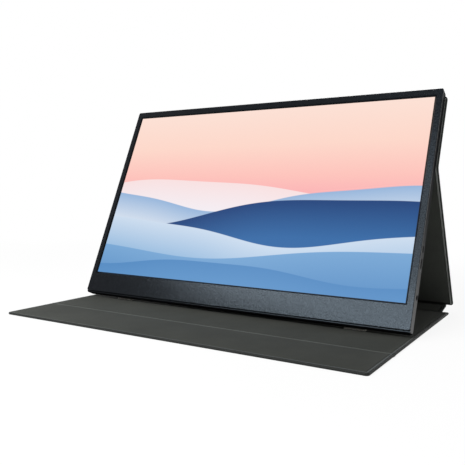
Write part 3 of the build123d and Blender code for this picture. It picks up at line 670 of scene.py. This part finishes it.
def skin_mesh(name, panel, half_width, ends, radii, free, hem_line_end):
    """A panel's leather: its outer face, rolled edges and hems, hollow for the stiffener.

    The line along the hems, a painted highlight, runs up both sides, and round the free end where
    that has it too.
    """
    shell = bmesh.new()
    outlines, loops = [], []
    side = 0 if hem_line_end else half_width - HEM
    for step, (edge, fold, height) in enumerate(EDGE_PROFILE):
        near, far = ((edge if is_free else fold) * MM for is_free in free)
        # Without a hem and with one
        heights = (height * MM, HEM_HEIGHTS.get(step, height) * MM)
        points = outline(half_width, ends, radii, (edge * MM, near, far), free)
        outlines.append(points)
        loops.append([shell.verts.new(panel.at(x, u, heights[on_hem])) for x, u, on_hem in points])
    for step, (lower, upper) in enumerate(zip(loops, loops[1:])):
        for i in range(len(lower)):
            j = (i + 1) % len(lower)
            (x, _, hem), (next_x, _, next_hem) = outlines[step][i], outlines[step][j]
            on_line = hem and next_hem and abs(x + next_x) / 2 >= side
            face = shell.faces.new((lower[i], lower[j], upper[j], upper[i]))
            face.material_index = int(step in CREST_STEPS and on_line)
    shell.faces.new(loops[0])
    shell.faces.new(loops[-1])
    return finish_mesh(shell, name, PANEL_SHARP)


# Where the middle point of a side's rounding lies, as a share of the rounding
ROUNDING_MIDDLE = 0.4


def swept(name, half_width, rows, rounding, hemmed=False):
    """A sheet across the cover: rows of (place, lower, upper, hem height) swept along X.

    Each place takes x and a height. The sheet thins by the rounding at its two sides, and
    where it is hemmed, it rises to the hem's height beside them and has the hem's paler line, a
    painted highlight.
    """
    shell = bmesh.new()
    middle = rounding * ROUNDING_MIDDLE
    # Inset from a side, thinning, and whether a hem runs there
    sections = [(0, rounding, hemmed), (middle, middle, hemmed), (rounding, 0, hemmed)]
    line = len(sections)
    if hemmed:
        sections += [(inset, 0, True) for inset in CREST_INSETS]
        sections += [(HEM, rounding, True), (HEM, 0, False)]
    stations = [(inset - half_width, *rest) for inset, *rest in sections]
    stations += [(-x, *rest) for x, *rest in reversed(stations)]
    # The strips with the paler line of painted highlight, one beside each side
    lines = (line, len(stations) - 2 - line) if hemmed else ()
    loops = []
    for x, pinch, on_hem in stations:
        tops = [(at, (hem if on_hem else upper) - pinch) for at, lower, upper, hem in rows]
        bottoms = [(at, lower) for at, lower, upper, hem in reversed(rows)]
        loops.append([shell.verts.new(at(x, height)) for at, height in tops + bottoms])
    for strip, (first, second) in enumerate(zip(loops, loops[1:])):
        for i in range(len(first)):
            j = (i + 1) % len(first)
            face = shell.faces.new((first[i], first[j], second[j], second[i]))
            face.material_index = int(strip in lines and i < len(rows) - 1)
    shell.faces.new(loops[0])
    shell.faces.new(loops[-1])
    return finish_mesh(shell, name, SWEPT_SHARP)


# The lining's top near a free edge and near a fold, in millimetres: inset and height
LINING_AT_HEM = [(2.86, 1.9), (2.9, 2.1), (3.05, 2.22), (3.5, 2.3)]
LINING_AT_FOLD = [(0.0, 1.95), (0.25, 2.08), (0.7, 2.2), (1.5, 2.3)]
# A groove pressed into the lining, in millimetres: distance from its middle and height
GROOVE = [(-1.6, 2.3), (-0.9, 2.24), (-0.4, 2.08), (0.0, 2.0), (0.4, 2.08), (0.9, 2.24), (1.6, 2.3)]
LINING_FLOOR = 1.8
LINING_ROUNDING = 0.35 * MM
# A lining's inset from the cover's side: the hem and a little play
HEM_PLAY = HEM + 0.06 * MM


def lining_mesh(name, panel, half_width, ends, free, grooves):
    """A panel's lining: it lies between the hems, and dips at folds and pressed grooves."""
    first = LINING_AT_HEM if free[0] else LINING_AT_FOLD
    last = LINING_AT_HEM if free[1] else LINING_AT_FOLD
    path = [(ends[0] + inset * MM, h) for inset, h in first]
    for groove in grooves:
        path += [(groove + d * MM, h) for d, h in GROOVE]
    path += [(ends[1] - inset * MM, h) for inset, h in reversed(last)]
    rows = [(panel.row(u), LINING_FLOOR * MM, h * MM, h * MM) for u, h in path]
    return swept(name, half_width - HEM_PLAY, rows, LINING_ROUNDING)


# The panel with the line along its hems, a painted highlight, at its free end too, and not only up
# its sides
HEM_LINE_END = "flap"
# Panel: body, replaced nodes, half width, corner radii in mm and free ends near and far, and the
# look of the line along its hems, a painted highlight
COVER = {
    "flap": ("front_flap", "flap_skin", "flap_lining", half_cover, (0, 3), (False, True), "crest"),
    "base": ("base", "base_skin", "base_lining", half_cover, (0, 1), (False, True), "crest"),
    "spine": ("spine", "spine_skin", "spine_lining", half_spine, (0, 0), (False, False), "crest"),
    "leg": ("leg", "leg_skin", "leg_lining", half_cover, (2.5, 0), (True, False), "painted_highlight_crest"),
    "upper": (
        "monitor", "upper_cover_skin", "upper_cover_lining", half_cover, (0, 4), (False, True),
        "painted_highlight_crest",
    ),
}
# Half widths of the folds' own strips, and the gap where a free edge lies at a fold
STRIP = {"crease": 1.5 * MM, "hinge": 0.9 * MM, "heel": 0.9 * MM, "fold": 0.9 * MM}
FREE_GAP = 0.2 * MM
# What each panel leaves free at its near and far end
END_GAPS = {
    "flap": (STRIP["crease"], 0),
    "base": (STRIP["crease"], FREE_GAP),
    "spine": (STRIP["hinge"], STRIP["heel"]),
    "leg": (0, STRIP["fold"]),
    "upper": (STRIP["fold"], 0),
}


def make_cover(looks):
    """The five panels, each a leather shell and a lining."""
    for key, (body, skin_node, lining_node, half_width, radii, free, crest) in COVER.items():
        panel = panels[key]
        near_gap, far_gap = END_GAPS[key]
        ends = (near_gap, lengths[key] - far_gap)
        corner = tuple(r * MM for r in radii)
        hem_line_end = key == HEM_LINE_END
        mesh = skin_mesh(f"{key}_leather", panel, half_width, ends, corner, free, hem_line_end)
        skin = new_piece(f"{key}_leather", mesh, looks["skin"])
        mesh.materials.append(looks[crest])
        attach(skin, body)
        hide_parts(skin_node)
        # The base has one groove, along Y = 0 between its two boards
        grooves = [-joint_place["flap_fold"].y] if key == "base" else []
        mesh = lining_mesh(f"{key}_microfibre", panel, half_width, ends, free, grooves)
        lining = new_piece(f"{key}_microfibre", mesh, looks["lining"])
        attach(lining, body)
        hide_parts(lining_node)


# A fold's strip, from each side inwards: share of its half width, then the heights in millimetres
# of the leather's outer face, of the lining and of the side hems, and these heights in its middle.
# The first row is a tongue inside the panel's rim.
STRIP_SIDES = [
    (2.6, 0.4, 1.75, 1.75),
    (1.06, 0.3, 1.85, 2.2),
    (0.7, 0.16, 2.0, 2.24),
    (0.4, 0.1, 2.1, 2.24),
    (0.2, 0.08, 2.16, 2.2),
]
STRIP_MIDDLE = (0.08, 2.18, 2.14)
# Height in millimetres where the leather and the lining meet
STRIP_JOIN = 1.25
STRIP_INSET = 0.05 * MM
STRIP_ROUNDING = 0.25 * MM
# Steps round a fold, if it is bent by more than this angle in radians
FAN_STEPS = 8
LEAST_BEND = 0.1
# Fold: joint, bodies, panels on its two sides, height of its axis, half width, inner look; the
# crease's paler lining is a painted highlight
FOLDS = {
    "crease": ("flap_fold", "front_flap", "base", "flap", "base", PANEL, half_cover, "fold"),
    "hinge": ("spine_fold", "base", "spine", "base", "spine", PANEL, half_spine, "lining"),
    "heel": ("leg_fold", "spine", "leg", "spine", "leg", PANEL, half_spine, "lining"),
    "fold": ("monitor_fold", "leg", "monitor", "leg", "upper", 0, half_cover, "lining"),
}


def make_fold(name, looks):
    """The leather and the lining that cross a fold, curved round it as it stands."""
    joint, body_a, body_b, near_key, far_key, axis_height, half_width, inner = FOLDS[name]
    crest = COVER[near_key][-1]
    near, far, axis = panels[near_key], panels[far_key], joint_place[joint]
    reach = STRIP[name]

    def near_row(d):
        # The crease is at the near end of both its panels
        return near.row(d if name == "crease" else lengths[near_key] - d)

    def fan_row(share):
        lean = near.outward.slerp(far.outward, share, near.outward)
        return lambda x, h: Vector((x, 0, 0)) + axis + lean * (axis_height - h)

    rows = [(near_row(share * reach), *heights) for share, *heights in STRIP_SIDES]
    bend = near.outward.angle(far.outward, 0)
    steps = FAN_STEPS if bend > LEAST_BEND else 0
    for k in range(steps + 1):
        rows.append((fan_row(k / max(steps, 1)), *STRIP_MIDDLE))
    rows += [(far.row(share * reach), *heights) for share, *heights in reversed(STRIP_SIDES)]
    leather_rows = [(at, outer * MM, STRIP_JOIN * MM, hem * MM) for at, outer, top, hem in rows]
    lining_rows = [(at, STRIP_JOIN * MM, top * MM, top * MM) for at, outer, top, hem in rows]
    start = near_row(reach)(0, PANEL / 2)
    end = far.row(reach)(0, PANEL / 2)
    for part, part_rows, half, look, slot, hemmed in (
        ("leather", leather_rows, half_width - STRIP_INSET, "skin", "cover_skin", True),
        ("lining", lining_rows, half_width - HEM_PLAY, inner, "cover_lining", False),
    ):
        mesh = swept(f"{name}_{part}", half, part_rows, STRIP_ROUNDING, hemmed)
        piece = new_piece(f"{name}_{part}", mesh, looks[look])
        if hemmed:
            mesh.materials.append(looks[crest])
        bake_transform(piece)


# Stage, lights and camera

FLOOR_SIZE = 12
FLOOR_WHITE = 0.95
FLOOR_ROUGHNESS = 0.9
# Share of the floor that is seen as plain white up to the near distance, all of it from the far one
FLOOR_GLOW = 0.9
FLOOR_NEAR, FLOOR_FAR = 0.35, 1.0
# The world's strength as a light
WORLD_FILL = 0.13
# Lamps: place, the place that they face, width and height, and power in watts
LAMPS = {
    "key": ((-0.26, -0.75, 0.59), (0, 0, 0.04), (0.84, 0.12), 10),
    "riser": ((-0.08, -0.75, 0.9), (0.1, 0, 0.1), (0.16, 0.4), 2.2),
    "side": ((1.1, 0.12, 0.08), (0.18, 0.05, 0.08), (0.3, 0.14), 2),
    "top": ((-0.3, -0.2, 1.6), (0, 0, 0), (1.2, 1.2), 1.5),
    "rear": ((-0.1, 1.3, 0.8), (0, 0.12, 0.1), (1.0, 0.6), 12),
}


def seen_directly(tree):
    """One for rays from the camera and for those that metal or glass sends on, else nought."""
    path = tree.nodes.new("ShaderNodeLightPath")
    outputs = [path.outputs[f"Is {kind} Ray"] for kind in ("Camera", "Glossy", "Transmission")]
    return tree.math("MAXIMUM", tree.math("MAXIMUM", *outputs[:2]), outputs[2])


def make_stage():
    """A white floor that keeps a soft shadow."""
    bpy.ops.mesh.primitive_plane_add(size=FLOOR_SIZE, location=(0, 0, 0))
    floor = bpy.context.object
    floor.name = "floor"
    tree = Tree("floor_white")
    tree.set(
        Base_Color=(FLOOR_WHITE, FLOOR_WHITE, FLOOR_WHITE, 1),
        Roughness=FLOOR_ROUGHNESS,
        Specular_IOR_Level=0.0,
    )
    glow = tree.nodes.new("ShaderNodeEmission")
    mixed = tree.nodes.new("ShaderNodeMixShader")
    distance = tree.nodes.new("ShaderNodeVectorMath")
    distance.operation = "LENGTH"
    tree.join(tree.coords(), distance.inputs[0])
    span = FLOOR_FAR - FLOOR_NEAR
    away = tree.math(
        "MULTIPLY_ADD", distance.outputs["Value"], 1 / span, -FLOOR_NEAR / span, clamp=True
    )
    share = tree.math("MULTIPLY_ADD", away, 1 - FLOOR_GLOW, FLOOR_GLOW)
    tree.join(tree.math("MULTIPLY", seen_directly(tree), share), mixed.inputs[0])
    tree.join(tree.shader.outputs[0], mixed.inputs[1])
    tree.join(glow.outputs[0], mixed.inputs[2])
    tree.join(mixed.outputs[0], tree.nodes["Material Output"].inputs["Surface"])
    floor.data.materials.append(tree.material)


class WorldTree(Tree):
    """The world's node tree."""

    def __init__(self, world):
        self.nodes = world.node_tree.nodes
        self.links = world.node_tree.links


def make_world():
    """A soft dome of light, seen as white."""
    world = bpy.data.worlds.new("studio")
    bpy.context.scene.world = world
    world.use_nodes = True
    tree = WorldTree(world)
    background = tree.nodes["Background"]
    background.inputs["Color"].default_value = (1, 1, 1, 1)
    strength = tree.math("MULTIPLY_ADD", seen_directly(tree), 1 - WORLD_FILL, WORLD_FILL)
    tree.join(strength, background.inputs["Strength"])


def make_lamp(name, place, target, size, power):
    """A rectangular lamp that the camera doesn't see."""
    data = bpy.data.lights.new(name, "AREA")
    data.shape = "RECTANGLE"
    data.size, data.size_y = size
    data.energy = power
    light = bpy.data.objects.new(name, data)
    bpy.context.collection.objects.link(light)
    light.location = place
    light.rotation_mode = "QUATERNION"
    light.rotation_quaternion = (Vector(target) - Vector(place)).to_track_quat("-Z", "Y")
    light.visible_camera = False


def make_camera():
    """The photograph's own viewpoint."""
    azimuth, elevation = math.radians(CAMERA_AZIMUTH), math.radians(CAMERA_ELEVATION)
    roll = math.radians(CAMERA_ROLL)
    level = Vector((math.cos(azimuth), math.sin(azimuth), 0))
    ahead = Vector((-math.sin(azimuth), math.cos(azimuth), 0))
    back = Vector((0, 0, math.sin(elevation))) - ahead * math.cos(elevation)
    upright = back.cross(level)
    right = level * math.cos(roll) + upright * math.sin(roll)
    top = upright * math.cos(roll) - level * math.sin(roll)
    data = bpy.data.cameras.new("camera")
    data.sensor_width = SENSOR_WIDTH
    data.lens = CAMERA_LENS
    camera = bpy.data.objects.new("camera", data)
    bpy.context.collection.objects.link(camera)
    basis = camera.matrix_world.to_3x3()
    for i in range(3):
        basis[i] = (right[i], top[i], back[i])
    camera.matrix_world = basis.to_4x4()
    camera.location = CAMERA_PLACE
    bpy.context.scene.camera = camera


dress_nodes()
looks = cover_looks()
make_cover(looks)
for fold_name in FOLDS:
    make_fold(fold_name, looks)
make_stage()
make_world()
for lamp_name, lamp in LAMPS.items():
    make_lamp(lamp_name, *lamp)
make_camera()
bpy.context.scene.view_settings.view_transform = "Standard"
